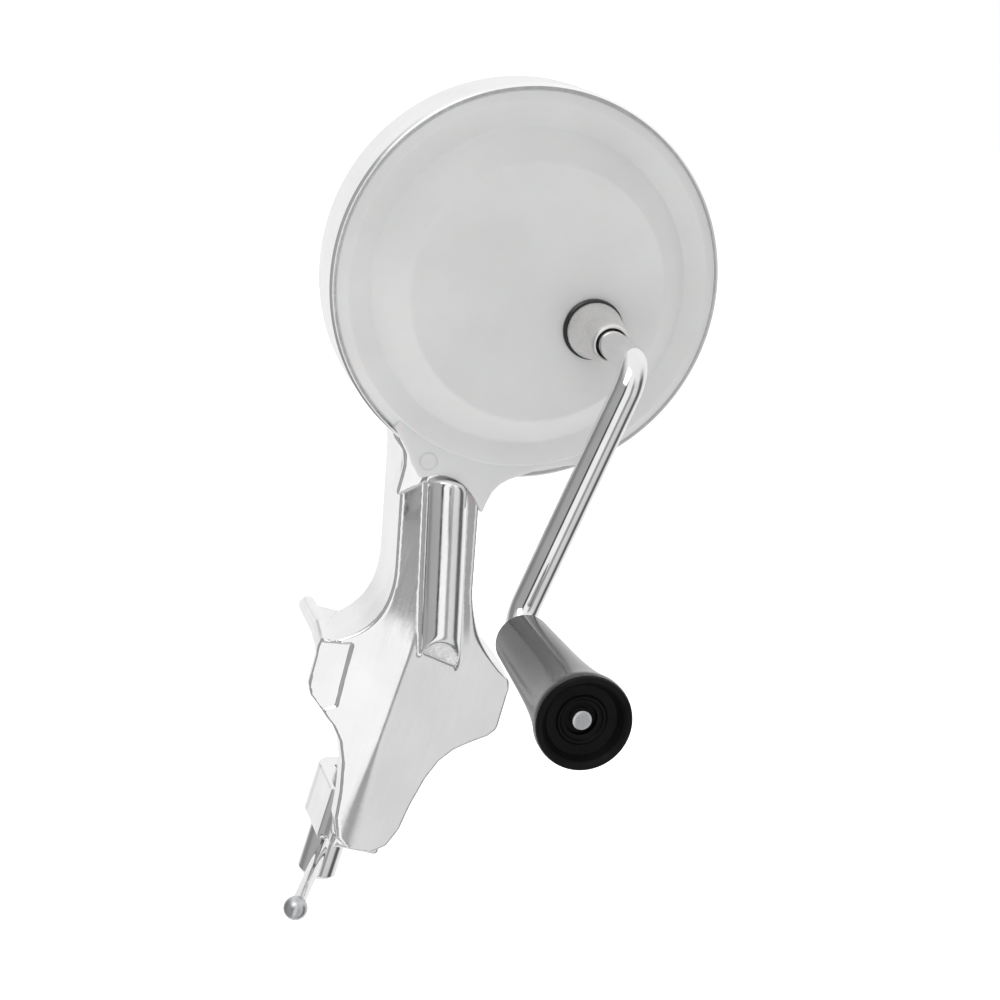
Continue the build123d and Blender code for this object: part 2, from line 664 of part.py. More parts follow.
# ---------------------------------------------------------------- yarn guide
GUIDE_X = DRUM_X + 38.0
GUIDE_Z = DRUM_Z - 12.0
with BuildPart() as guide_socket:
    with BuildSketch(front(22, GUIDE_X, GUIDE_Z)):
        SlotCenterToCenter(15, 8, rotation=90)
    extrude(amount=2)
    with BuildSketch(front(32, GUIDE_X, GUIDE_Z)):
        Circle(4.2)
    extrude(amount=10)
    with BuildSketch(front(33, GUIDE_X, GUIDE_Z)):
        Circle(1.25 + RUN)
    extrude(amount=12.5, mode=Mode.SUBTRACT)
    with BuildSketch(front(23, GUIDE_X, GUIDE_Z)):
        with Locations((0, 7.5), (0, -7.5)):
            Circle(1.25)
    extrude(amount=4, mode=Mode.SUBTRACT)
save(guide_socket, "guide_socket")

with BuildPart() as guide_screws:
    with BuildSketch(front(23.6, GUIDE_X, GUIDE_Z)):
        with Locations((0, 7.5), (0, -7.5)):
            Circle(2.4)
    extrude(amount=1.6)
    with BuildSketch(front(22, GUIDE_X, GUIDE_Z)):
        with Locations((0, 7.5), (0, -7.5)):
            Circle(1.25)
    extrude(amount=4.6)
save(guide_screws, "guide_screws")

# Yarn guide: one spring wire with a pigtail eye, swivelling in the socket.
with BuildPart() as guide_wire:
    with BuildLine():
        FilletPolyline(
            (GUIDE_X, DRUM_Y + 20.8, GUIDE_Z),
            (GUIDE_X, DRUM_Y + 78, GUIDE_Z),
            (GUIDE_X + 16, DRUM_Y + 78, GUIDE_Z),
            radius=6,
        )
    with BuildSketch(front(20.8, GUIDE_X, GUIDE_Z)):
        Circle(1.25)
    sweep()
    with Locations(Plane((GUIDE_X + 19.8, DRUM_Y + 78, GUIDE_Z), x_dir=(1, 0, 0), z_dir=(0, 1, 0))):
        Torus(4.2, 1.25)
    with BuildSketch(front(33.4, GUIDE_X, GUIDE_Z)):
        Circle(2.6)
    extrude(amount=1.2)
save(guide_wire, "guide_wire")

# ---------------------------------------------------------------- clamp
with BuildPart() as clamp_screw:
    with BuildSketch(Plane.XY.offset(LOWER - 0.3)):
        Circle(SCREW_R)
    extrude(amount=THROAT + BOSS_H - 10)
    with BuildSketch(Plane.XY.offset(LOWER - 0.3)):
        Circle(HEAD_R)
    extrude(amount=-HEAD_H)
    chamfer(clamp_screw.edges().group_by(Axis.Z)[0], 1.0)
    with BuildSketch(Plane.XY.offset(-10.3)):
        Circle(2.5)
    extrude(amount=4)
    bar_dir = (-sin(radians(BAR_TURN)), -cos(radians(BAR_TURN)), 0)
    with BuildSketch(Plane((0, 0, LOWER - BAR_DROP), z_dir=bar_dir)):
        Circle(BAR_R + RUN)
    extrude(amount=10, both=True, mode=Mode.SUBTRACT)
save(clamp_screw, "clamp_screw")

# Swivel foot on the screw's nose.
with BuildPart() as pressure_pad:
    with BuildSketch(Plane.XY.offset(-10)):
        Circle(6)
    extrude(amount=3)
    with BuildSketch(Plane.XY.offset(-7)):
        Circle(7.5)
    extrude(amount=2.2)
    with BuildSketch(Plane.XY.offset(-10.5)):
        Circle(2.5 + RUN)
    extrude(amount=4.3, mode=Mode.SUBTRACT)
save(pressure_pad, "pressure_pad")

bar_start = (
    bar_dir[0] * (BAR_OUT - BAR_SPAN),
    bar_dir[1] * (BAR_OUT - BAR_SPAN),
    LOWER - BAR_DROP,
)
bar_plane = Plane(bar_start, z_dir=bar_dir)
with BuildPart() as tommy_bar:
    with BuildSketch(bar_plane.offset(-1)):
        Circle(BAR_R)
    extrude(amount=BAR_SPAN + 2)
save(tommy_bar, "tommy_bar")

with BuildPart() as tommy_balls:
    with Locations(bar_plane, bar_plane.offset(BAR_SPAN)):
        Sphere(BALL_R)
    with BuildSketch(bar_plane.offset(-1)):
        Circle(BAR_R)
    extrude(amount=BAR_SPAN + 2, mode=Mode.SUBTRACT)
save(tommy_balls, "tommy_balls")
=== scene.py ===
import json
import math

import bmesh
import bpy
import numpy as np
from mathutils import Matrix, Vector


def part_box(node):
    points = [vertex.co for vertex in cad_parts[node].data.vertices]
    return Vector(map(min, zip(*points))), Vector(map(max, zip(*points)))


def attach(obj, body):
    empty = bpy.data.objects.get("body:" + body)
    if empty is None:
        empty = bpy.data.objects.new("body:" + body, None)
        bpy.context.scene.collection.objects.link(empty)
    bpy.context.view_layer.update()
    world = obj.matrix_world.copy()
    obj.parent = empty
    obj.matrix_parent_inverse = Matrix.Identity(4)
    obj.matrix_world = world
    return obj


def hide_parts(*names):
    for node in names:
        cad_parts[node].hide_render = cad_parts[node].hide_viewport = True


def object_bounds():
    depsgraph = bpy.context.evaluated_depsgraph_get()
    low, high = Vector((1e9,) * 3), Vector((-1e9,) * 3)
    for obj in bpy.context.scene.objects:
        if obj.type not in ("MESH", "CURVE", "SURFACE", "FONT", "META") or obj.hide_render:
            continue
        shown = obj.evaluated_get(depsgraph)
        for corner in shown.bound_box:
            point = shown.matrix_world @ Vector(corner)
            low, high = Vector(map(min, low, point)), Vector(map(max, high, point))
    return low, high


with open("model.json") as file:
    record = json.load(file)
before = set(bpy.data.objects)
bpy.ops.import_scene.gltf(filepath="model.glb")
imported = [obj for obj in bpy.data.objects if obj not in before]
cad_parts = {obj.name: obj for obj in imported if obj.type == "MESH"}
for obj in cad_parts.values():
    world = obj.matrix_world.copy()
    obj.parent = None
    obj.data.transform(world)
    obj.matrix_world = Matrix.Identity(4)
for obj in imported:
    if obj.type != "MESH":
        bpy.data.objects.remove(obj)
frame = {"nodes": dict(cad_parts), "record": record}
cad_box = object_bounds()
MM = 0.001


# ---------------------------------------------------------------- drum housing
# A shallow die-cast drum with a rolled rim, plated and polished. It is cast in one
# with the neck and the clamp, and it carries both bearings in its back wall.

RIM_R = 56.0 * MM
COLUMN_PROUD = 8.2 * MM  # from the front of the neck's column back to the drum's own origin
rim_low, rim_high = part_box("body_casting")
drum_y = rim_low[1] + COLUMN_PROUD
drum_x = (rim_low[0] + rim_high[0]) / 2
drum_z = rim_high[2] - RIM_R
crank_low, crank_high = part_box("hub_bush")
crank_x = (crank_low[0] + crank_high[0]) / 2
crank_z = (crank_low[2] + crank_high[2]) / 2
spin_low, spin_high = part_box("spindle_bush")
spin_x = (spin_low[0] + spin_high[0]) / 2
spin_z = (spin_low[2] + spin_high[2]) / 2


SAME_SPOT = 1e-7  # points nearer than this are one point


def softened(corners, steps=6):
    """Profile points with each (along, radius, fillet) corner turned into an arc."""
    count = len(corners)
    points = []
    for i, (a, r, fillet) in enumerate(corners):
        here = Vector((a, r))
        if fillet == 0 or i in (0, count - 1):
            points.append((here, fillet == 0))
            continue
        back = Vector(corners[i - 1][:2]) - here
        ahead = Vector(corners[i + 1][:2]) - here
        half = back.angle(ahead) / 2
        reach = min(fillet / math.tan(half), back.length * 0.48, ahead.length * 0.48)
        radius = reach * math.tan(half)
        back.normalize()
        ahead.normalize()
        centre = here + (back + ahead).normalized() * (radius / math.sin(half))
        start = here + back * reach - centre
        end = here + ahead * reach - centre
        turn = start.angle_signed(end)
        for step in range(steps + 1):
            spun = start.copy()
            spun.rotate(Matrix.Rotation(-turn * step / steps, 2))
            points.append((centre + spun, False))
    return points


def lathe(name, foot, direction, corners, segments=96, steps=6):
    """Turned solid about an axis. Corners run (along, radius, fillet) in millimetres."""
    profile = softened([(a * MM, r * MM, f * MM) for a, r, f in corners], steps)
    axis = Vector(direction).normalized()
    side = axis.orthogonal().normalized()
    other = axis.cross(side)
    mesh = bmesh.new()
    rings = []
    for point, _ in profile:
        centre = Vector(foot) + axis * point.x
        if point.y < SAME_SPOT:
            rings.append([mesh.verts.new(centre)])
            continue
        ring = []
        for s in range(segments):
            angle = 2 * math.pi * s / segments
            ring.append(mesh.verts.new(centre + (side * math.cos(angle) + other * math.sin(angle)) * point.y))
        rings.append(ring)
    for first, second in zip(rings, rings[1:]):
        for s in range(segments):
            t = (s + 1) % segments
            if len(first) == 1 and len(second) == 1:
                break
            if len(first) == 1:
                mesh.faces.new((first[0], second[t], second[s]))
            elif len(second) == 1:
                mesh.faces.new((first[s], first[t], second[0]))
            else:
                mesh.faces.new((first[s], first[t], second[t], second[s]))
    bmesh.ops.remove_doubles(mesh, verts=mesh.verts, dist=SAME_SPOT)
    bmesh.ops.recalc_face_normals(mesh, faces=mesh.faces)
    return finished(name, mesh)


def finished(name, mesh, sharp=32):
    """Object from a bmesh, smooth but for edges sharper than the angle."""
    data = bpy.data.meshes.new(name)
    mesh.to_mesh(data)
    mesh.free()
    data.shade_smooth()
    data.set_sharp_from_angle(angle=math.radians(sharp))
    piece = bpy.data.objects.new(name, data)
    bpy.context.scene.collection.objects.link(piece)
    return piece


class Shader:
    """Node material whose sockets take a value or another node's output."""

    def __init__(self, name):
        self.material = bpy.data.materials.new(name)
        self.material.use_nodes = True
        self.tree = self.material.node_tree
        self.surface = self.tree.nodes["Principled BSDF"]
        self.place = self.node("ShaderNodeTexCoord").outputs["Object"]

    def node(self, kind, **settings):
        made = self.tree.nodes.new(kind)
        for key, value in settings.items():
            setattr(made, key, value)
        return made

    def join(self, value, socket):
        if isinstance(value, bpy.types.NodeSocket):
            self.tree.links.new(value, socket)
        else:
            socket.default_value = value

    def noise(self, scale, detail=3.0, roughness=0.5, stretch=(1, 1, 1)):
        fit = self.node("ShaderNodeMapping")
        self.join(self.place, fit.inputs["Vector"])
        fit.inputs["Scale"].default_value = stretch
        made = self.node("ShaderNodeTexNoise")
        self.join(fit.outputs["Vector"], made.inputs["Vector"])
        made.inputs["Scale"].default_value = scale
        made.inputs["Detail"].default_value = detail
        made.inputs["Roughness"].default_value = roughness
        return made.outputs["Fac"]

    def between(self, value, low, high, start=0.0, end=1.0):
        made = self.node("ShaderNodeMapRange")
        self.join(value, made.inputs["Value"])
        made.inputs["From Min"].default_value = start
        made.inputs["From Max"].default_value = end
        made.inputs["To Min"].default_value = low
        made.inputs["To Max"].default_value = high
        return made.outputs["Result"]

    def tint(self, value, dark, light, start=0.3, end=0.7):
        made = self.node("ShaderNodeValToRGB")
        self.join(value, made.inputs["Fac"])
        made.color_ramp.elements[0].position = start
        made.color_ramp.elements[0].color = (*dark, 1)
        made.color_ramp.elements[1].position = end
        made.color_ramp.elements[1].color = (*light, 1)
        return made.outputs["Color"]

    def sum(self, first, second):
        made = self.node("ShaderNodeMath", operation="ADD")
        self.join(first, made.inputs[0])
        self.join(second, made.inputs[1])
        return made.outputs["Value"]

    def relief(self, height, depth, strength=1.0):
        made = self.node("ShaderNodeBump")
        self.join(height, made.inputs["Height"])
        made.inputs["Distance"].default_value = depth
        made.inputs["Strength"].default_value = strength
        self.join(made.outputs["Normal"], self.surface.inputs["Normal"])


def plated_casting():
    """Bright plating over a hand-polished casting: soft waves, faint pits and hairlines."""
    shade = Shader("plated_casting")
    waves = shade.noise(70, 2, 0.4)
    pits = shade.noise(1400, 2, 0.6)
    hairlines = shade.noise(900, 2, 0.5, (1, 1, 0.06))
    shade.join(shade.tint(waves, (0.89, 0.89, 0.895), (0.95, 0.95, 0.955)), shade.surface.inputs["Base Color"])
    shade.surface.inputs["Metallic"].default_value = 1.0
    shade.join(shade.between(shade.sum(pits, hairlines), 0.09, 0.24, 0.7, 1.4), shade.surface.inputs["Roughness"])
    height = shade.sum(shade.between(waves, 0, 1), shade.between(pits, 0, 0.05))
    shade.relief(height, 0.00025, 0.5)
    return shade.material


CASTING = plated_casting()


def dress(piece, material, body, slot, *nodes):
    """Material, moving body, record slot (not used) and the CAD nodes that a piece stands for."""
    piece.data.materials.clear()
    piece.data.materials.append(material)
    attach(piece, body)
    if nodes:
        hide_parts(*nodes)
    return piece


AWAY = (0, 1, 0)
drum_foot = (drum_x, drum_y, drum_z)
drum_shell = lathe(
    "drum_shell",
    drum_foot,
    AWAY,
    [
        (17.0, 0, 0),
        (17.0, 53.3, 1.5),
        (-2.6, 53.3, 0),
        (-3.2, 54.3, 0.3),
        (-3.2, 55.4, 0.5),
        (-2.4, 56.0, 0.4),
        (-0.5, 56.0, 0.4),
        (0.0, 55.6, 0.2),
        (10.0, 55.7, 0),
        (18.6, 55.5, 1.8),
        (20.0, 52.0, 1.2),
        (20.0, 50.0, 0.4),
        (19.4, 49.4, 0.4),
        (19.4, 44.0, 0.4),
        (20.0, 43.4, 0.4),
        (20.0, 0, 0),
    ],
    segments=256,
)
dress(drum_shell, CASTING, "frame", "cast_metal", "body_casting")

spin_foot = (spin_x, drum_y, spin_z)
spindle_boss = lathe(
    "spindle_boss",
    spin_foot,
    AWAY,
    [(19.0, 6.0, 0), (19.0, 12.5, 0), (20.2, 10.4, 1.2), (24.4, 9.0, 0.5), (25.0, 8.6, 0.3), (25.0, 6.0, 0)],
)
dress(spindle_boss, CASTING, "frame", "cast_metal")


# ---------------------------------------------------------------- neck and clamp
# The lower half of the same casting: a leaning neck with a half-round column on its
# front, a wide upper jaw, a ridged spine, and an arm with the boss for the screw.

LEAN = -0.248  # the neck's sideways lean, per unit of height


def smooth_union(a, b, reach):
    blend = np.maximum(reach - np.abs(a - b), 0) / reach
    return np.minimum(a, b) - blend * blend * reach * 0.25


def smooth_cut(a, b, reach):
    return -smooth_union(-a, b, reach)


def block(x, y, z, half, round_off):
    """Distance to a box with rounded edges, from local coordinates."""
    dx = np.abs(x) - half[0] + round_off
    dy = np.abs(y) - half[1] + round_off
    dz = np.abs(z) - half[2] + round_off
    outside = np.sqrt(np.maximum(dx, 0) ** 2 + np.maximum(dy, 0) ** 2 + np.maximum(dz, 0) ** 2)
    return outside + np.minimum(np.maximum(dx, np.maximum(dy, dz)), 0) - round_off


def polygon(u, v, corners):
    """Signed distance in a plane to a closed outline."""
    best = np.full(u.shape, 1e9)
    inside = np.zeros(u.shape, bool)
    for (ax, ay), (bx, by) in zip(corners, corners[1:] + corners[:1]):
        ex, ey = bx - ax, by - ay
        share = np.clip(((u - ax) * ex + (v - ay) * ey) / (ex * ex + ey * ey), 0, 1)
        best = np.minimum(best, (u - ax - share * ex) ** 2 + (v - ay - share * ey) ** 2)
        crosses = (ay > v) != (by > v)
        with np.errstate(divide="ignore", invalid="ignore"):
            at = ax + (v - ay) * ex / ey
        inside ^= crosses & (u < at)
    return np.where(inside, -1, 1) * np.sqrt(best)


def slab(flat, along, half, round_off):
    """A flat outline's distance carried through a thickness, edges rounded."""
    a = flat + round_off
    b = np.abs(along) - half + round_off
    outside = np.sqrt(np.maximum(a, 0) ** 2 + np.maximum(b, 0) ** 2)
    return outside + np.minimum(np.maximum(a, b), 0) - round_off


def capsule(x, y, z, low, high, radius):
    start, span = np.array(low), np.array(high) - np.array(low)
    share = np.clip(((x - low[0]) * span[0] + (y - low[1]) * span[1] + (z - low[2]) * span[2]) / span.dot(span), 0, 1)
    gap = [c - start[i] - share * span[i] for i, c in enumerate((x, y, z))]
    return np.sqrt(gap[0] ** 2 + gap[1] ** 2 + gap[2] ** 2) - radius


def both_ways(half):
    return half + [(-x, z) for x, z in reversed(half) if x > 0]


wing_outline = both_ways(
    [(0, 8.0), (11, 8.0), (15.5, 6.8), (28.1, 2.6), (29.3, 0.5), (28.9, -11.0), (27.4, -14.2), (23.5, -17.2),
     (19.0, -20.8), (15.6, -25.2), (13.2, -31.0), (11.2, -40.0), (10.2, -48.0), (7.8, -53.8), (3.6, -56.6)]
)
jaw_side = [(-34, 0), (-34, 8.0), (-12.5, 8.0), (-10, 6.0), (5.2, 1.9), (6.0, 1.2), (6.0, 0.0)]
cheek_side = [(-33.5, -2), (-33.5, 3.0), (-20, 5.2), (2.5, 4.9), (5.6, 2.6), (6.0, 0.0), (-20, -1.2)]

shoulder = [
    (-26.2, 66.2), (-24.0, 63.4), (-22.8, 59.0), (-22.6, 55.3), (-22.5, 51.6), (-22.0, 50.1), (-16.6, 55.0),
    (-13.8, 57.6), (-4.0, 60.0), (2.0, 64.0),
]
NECK_HALF = 11.6
COLUMN_R = 5.9
COLUMN_Y = -37.3  # the column's axis, a little in front of the neck
BORE_R = 4.1
DRUM_WALL_R = 55.2


def casting(p):
    x, y, z = p[:, 0], p[:, 1], p[:, 2]
    # neck and wings share one outline, with round corners between them
    lean_x = (x + 1.35 - LEAN * (z - 21)) * 0.971
    neck = np.maximum(np.abs(lean_x) - NECK_HALF, np.abs(z - 36) - 38)
    wings = polygon(x, z, wing_outline)
    outline = smooth_union(neck, wings, 22.0)
    # front: flat up the neck, a low roof over the wings, its ridge rounder lower down
    off_ridge = np.sqrt((x + 4.4 - z * 0.03) ** 2 + (0.5 + np.clip(-z - 22, 0, 34) * 0.12) ** 2)
    rise = np.clip((24 - z) / 22, 0, 1)
    rise = rise * rise * (3 - 2 * rise)
    front = -35 + rise * (off_ridge * 0.17 - 2.6)
    back = -29 + np.clip(z + 2, 0, 8) * 2.2
    # edges are softer on the right, where the polishing wheel has worn them
    edge = 0.8 + 2.0 * np.exp(-((x - 13) ** 2 + (z - 12) ** 2) / 60.0)
    a = outline + edge
    b = np.maximum((front - y) * 0.985 + edge, y - back + 0.9)
    thin = np.sqrt(np.maximum(a, 0) ** 2 + np.maximum(b, 0) ** 2) + np.minimum(np.maximum(a, b), 0) - edge
    # column, its head rounded off along the tab's arch and its foot cut back by a slope
    column = capsule(x, np.minimum(y, COLUMN_Y), z, (5.3, COLUMN_Y, 5), (-9.6, COLUMN_Y, 59.4), COLUMN_R)
    arch = capsule(x, y * 0, z, (4.3, 0, 0), (-9.0, 0, 48.6), 10.5)
    column = smooth_cut(column, -arch, 1.6)
    foot = ((y + 43.3) * 1.25 + z - 14.0) * 0.62
    column = np.maximum(smooth_cut(column, foot, 0.8), y + 20)
    body = smooth_union(thin, column, 1.0)
    # raised shoulder behind the cover's tab
    tilt = np.clip(x + 20, -8, 3) * 0.17
    body = smooth_union(body, slab(polygon(x, z, shoulder), y + 34 + tilt, 3.7, 0.7), 1.0)
    # jaw plate, its top falling towards its ends, between two end cheeks
    plate = slab(polygon(y, z, jaw_side), x, 28.6, 1.0)
    plate = np.maximum(plate, (z - 6.4 + 0.328 * (np.abs(x) - 15)) * 0.95)
    cheek = slab(polygon(y, z, cheek_side), np.abs(x) - 27.4, 1.8, 1.2)
    jaw = np.maximum(smooth_union(plate, cheek, 1.5), front - y + 0.4)
    body = smooth_union(body, jaw, 1.0)
    # back of the C, lower arm and boss
    back = block(x, y + 26, z + 25, (7.6, 5, 34), 1.5)
    arm = block(x, y + 10, z + 52.65, (9.35, 12, 8.15), 1.0)
    boss = slab(np.sqrt(x * x + y * y) - 9.35, z + 52.65, 8.15, 1.0)
    arm = smooth_union(arm, boss, 0.5)
    body = smooth_union(body, smooth_union(back, arm, 2.5), 2.0)
    # throat is kept clear, with its corners rounded
    throat = block(x, y - 8, z + 22.25, (40, 29, 22.25), 2.0)
    body = smooth_cut(body, throat, 0.6)
    # recessed panel on the left wing
    panel = polygon(x, z, [(-20.6, 4.2), (-34, 1.0), (-34, -24), (-19.6, -15.2)])
    body = smooth_cut(body, slab(panel, y - front, 1.1, 0.4), 0.4)
    # screw bore, through the lower arm only
    body = smooth_cut(body, np.maximum(np.sqrt(x * x + y * y) - BORE_R, z + 40), 0.4)
    # the neck runs up into the drum's wall
    wall = np.sqrt((x - drum_x / MM) ** 2 + (z - drum_z / MM) ** 2) - DRUM_WALL_R
    drum = np.maximum(wall, np.abs(y + 25) - 9.5)
    body = smooth_union(body, drum, 6.0)
    return np.maximum(body, -(wall + 0.9))


def pulled_to(points, distance, rounds=4):
    """Points moved along the distance's slope until they lie on its surface."""
    step = 1e-3
    for _ in range(rounds):
        value = distance(points)
        slope = np.stack(
            [distance(points + step * unit) - distance(points - step * unit) for unit in np.eye(3)], axis=1
        ) / (2 * step)
        points = points - slope * (value / np.maximum((slope**2).sum(1), 0.2))[:, None]
    return points


def skin(name, distance, low, high, cell):
    """Closed quad mesh of a distance function's surface, refined once."""
    axes = [np.arange(a, b + cell, cell) for a, b in zip(low, high)]
    shape = [len(a) for a in axes]
    grid = np.stack(np.meshgrid(*axes, indexing="ij"), axis=-1).reshape(-1, 3)
    value = distance(grid).reshape(shape)
    solid = value < 0
    corners = np.stack(
        [
            solid[i:shape[0] - 1 + i, j:shape[1] - 1 + j, k:shape[2] - 1 + k]
            for i in (0, 1)
            for j in (0, 1)
            for k in (0, 1)
        ]
    )
    mixed = corners.any(0) & ~corners.all(0)
    number = np.full(mixed.shape, -1)
    number[mixed] = np.arange(mixed.sum())
    where = np.argwhere(mixed)
    points = np.array(low) + (where + 0.5) * cell
    faces = []
    for axis in range(3):
        one, two = [a for a in range(3) if a != axis]
        lower = [slice(1, n - 1) for n in shape]
        lower[axis] = slice(0, shape[axis] - 1)
        upper = list(lower)
        upper[axis] = slice(1, shape[axis])
        before, after = solid[tuple(lower)], solid[tuple(upper)]
        spots = np.argwhere(before != after)
        flipped = after[tuple(spots.T)]
        spots[:, one] += 1
        spots[:, two] += 1
        quads = []
        for a, b in ((1, 1), (0, 1), (0, 0), (1, 0)):
            at = spots.copy()
            at[:, one] -= a
            at[:, two] -= b
            quads.append(number[tuple(at.T)])
        quads = np.stack(quads, axis=1)
        if axis == 1:
            flipped = ~flipped
        quads[flipped] = quads[flipped][:, ::-1]
        faces.append(quads)
    faces = np.concatenate(faces)
    points = pulled_to(points, distance)
    for _ in range(2):
        total = np.zeros_like(points)
        count = np.zeros(len(points))
        for a, b in ((0, 1), (1, 2), (2, 3), (3, 0)):
            np.add.at(total, faces[:, a], points[faces[:, b]])
            np.add.at(total, faces[:, b], points[faces[:, a]])
            np.add.at(count, faces[:, a], 1)
            np.add.at(count, faces[:, b], 1)
        points = pulled_to(0.5 * points + 0.5 * total / count[:, None], distance, 2)
    data = bpy.data.meshes.new(name)
    data.from_pydata(points.tolist(), [], faces.tolist())
    mesh = bmesh.new()
    mesh.from_mesh(data)
    bpy.data.meshes.remove(data)
    bmesh.ops.subdivide_edges(mesh, edges=mesh.edges, cuts=1, use_grid_fill=True)
    bmesh.ops.recalc_face_normals(mesh, faces=mesh.faces)
    placed = pulled_to(np.array([v.co[:] for v in mesh.verts]), distance)
    for vert, spot in zip(mesh.verts, placed):
        vert.co = Vector(spot) * MM
    return finished(name, mesh, 60)


neck_and_clamp = skin("neck_and_clamp", casting, (-34, -47, -64), (34, 12, 76), 1.0)
dress(neck_and_clamp, CASTING, "frame", "cast_metal")


# ---------------------------------------------------------------- gear cover
# Moulded in matt, slightly cloudy plastic: a dished disc with a rounded step, and a
# tab over the top of the neck. It snaps into the rim, and a push rivet holds the tab.

def cloudy_plastic():
    shade = Shader("cloudy_plastic")
    drift = shade.noise(35, 3, 0.5)
    grain = shade.noise(2600, 2, 0.5)
    shade.join(shade.tint(drift, (0.54, 0.54, 0.54), (0.585, 0.585, 0.585)), shade.surface.inputs["Base Color"])
    shade.join(shade.between(drift, 0.42, 0.52), shade.surface.inputs["Roughness"])
    shade.surface.inputs["Subsurface Weight"].default_value = 0.15
    shade.surface.inputs["Subsurface Scale"].default_value = 0.002
    shade.relief(grain, 0.00002, 0.5)
    return shade.material


CLOUDY = cloudy_plastic()
gear_cover = lathe(
    "cover_disc",
    drum_foot,
    AWAY,
    [
        (-15.4, 0, 0),
        (-15.4, 36.3, 1.6),
        (-5.8, 44.6, 1.6),
        (-5.8, 51.5, 1.2),
        (-3.3, 54.1, 0.3),
        (-1.0, 54.1, 0.1),
        (-1.0, 51.8, 0),
        (-0.4, 51.8, 0),
        (-0.4, 51.3, 0),
        (-3.8, 51.3, 0),
        (-3.8, 43.7, 0.8),
        (-13.4, 35.6, 0.8),
        (-13.4, 0, 0),
    ],
    segments=256,
    steps=8,
)
dress(gear_cover, CLOUDY, "frame", "cover_plastic", "gear_cover")


def flat_plate(name, outline, front_y, thickness, round_off, steps=3):
    """Flat plate facing the crank side, cut to an outline, its front edge rounded."""
    mesh = bmesh.new()
    verts = [mesh.verts.new((x * MM, (front_y + thickness) * MM, z * MM)) for x, z in outline]
    face = mesh.faces.new(verts)
    face.normal_update()
    if face.normal.y < 0:
        face.normal_flip()
    front = bmesh.ops.extrude_face_region(mesh, geom=[face])
    moved = [item for item in front["geom"] if isinstance(item, bmesh.types.BMVert)]
    bmesh.ops.translate(mesh, verts=moved, vec=(0, -thickness * MM, 0))
    edges = [e for e in mesh.edges if all(v in moved for v in e.verts)]
    bmesh.ops.bevel(
        mesh, geom=edges, offset=round_off * MM, segments=steps, profile=0.5, affect="EDGES", clamp_overlap=True
    )
    bmesh.ops.recalc_face_normals(mesh, faces=mesh.faces)
    return finished(name, mesh)


def arc(centre_x, centre_z, radius, start, end, steps):
    """Points on a circle, angles in degrees."""
    turns = [math.radians(start + (end - start) * i / steps) for i in range(steps + 1)]
    return [(centre_x + radius * math.cos(t), centre_z + radius * math.sin(t)) for t in turns]


tab_top = arc(drum_x / MM, drum_z / MM, 50.5, -55, -118, 20)
tab_outline = tab_top + [
    (-29.4, 69.6), (-26.8, 67.2), (-24.6, 64.8), (-22.8, 62.9), (-21.2, 60.6), (-19.6, 58.9), (-18.2, 57.6),
    (-17.4, 57.7), (-15.6, 58.6), (-13.7, 59.4), (-11.1, 59.8), (-8.3, 59.5), (-5.9, 58.7), (-3.7, 57.6),
    (-1.5, 56.0), (0.5, 54.0), (1.8, 52.2), (2.5, 52.2), (2.9, 55.6), (3.6, 58.8), (5.0, 61.3), (7.1, 63.3),
    (9.8, 65.1), (16.1, 69.2), (26.8, 73.0),
]
cover_tab = flat_plate("cover_tab", tab_outline, -40.5, 2.3, 0.5)
dress(cover_tab, CLOUDY, "frame", "cover_plastic")
rivet_low, rivet_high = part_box("cover_rivet")
rivet_foot = ((rivet_low[0] + rivet_high[0]) / 2, drum_y, (rivet_low[2] + rivet_high[2]) / 2)
cover_rivet = lathe(
    "cover_rivet",
    rivet_foot,
    AWAY,
    [
        (5.4, 0, 0), (5.4, 1.5, 0.6), (-4.4, 1.5, 0), (-4.4, 2.6, 0), (-5.6, 2.6, 0), (-4.9, 2.55, 0), (-4.9, 2.3, 0),
        (-5.6, 2.22, 0), (-5.62, 0, 0),
    ],
    96,
)
dress(cover_rivet, CLOUDY, "frame", "cover_plastic", "cover_rivet")


# ---------------------------------------------------------------- ring at the crank's foot
# Flange of the moulded bush that carries the crank in the cover, in shiny black
# plastic. It is pressed into the cover's middle from the front.

def black_moulding():
    shade = Shader("black_moulding")
    drift = shade.noise(60, 3, 0.5)
    grain = shade.noise(1800, 2, 0.6)
    shade.join(shade.tint(drift, (0.006, 0.006, 0.006), (0.012, 0.012, 0.012)), shade.surface.inputs["Base Color"])
    shade.join(shade.between(shade.sum(drift, grain), 0.16, 0.30, 0.6, 1.4), shade.surface.inputs["Roughness"])
    shade.surface.inputs["Coat Weight"].default_value = 0.3
    shade.surface.inputs["Coat Roughness"].default_value = 0.08
    shade.relief(grain, 0.00002, 0.4)
    return shade.material


BLACK = black_moulding()
crank_foot = (crank_x, drum_y, crank_z)
hub_ring = lathe(
    "hub_ring",
    crank_foot,
    AWAY,
    [
        (-10.0, 4.1, 0), (-16.6, 4.1, 0), (-16.6, 8.2, 0.4), (-16.2, 8.6, 0.3), (-15.4, 8.6, 0), (-15.4, 6.0, 0),
        (-10.0, 6.0, 0), (-10.0, 4.1, 0),
    ],
)
dress(hub_ring, BLACK, "frame", "black_plastic", "hub_bush")


# ---------------------------------------------------------------- crank collar
# Tapered collar turned from steel and nickel plated. It is slid up the rod to the
# ring, and a spring pin through both holds it there.

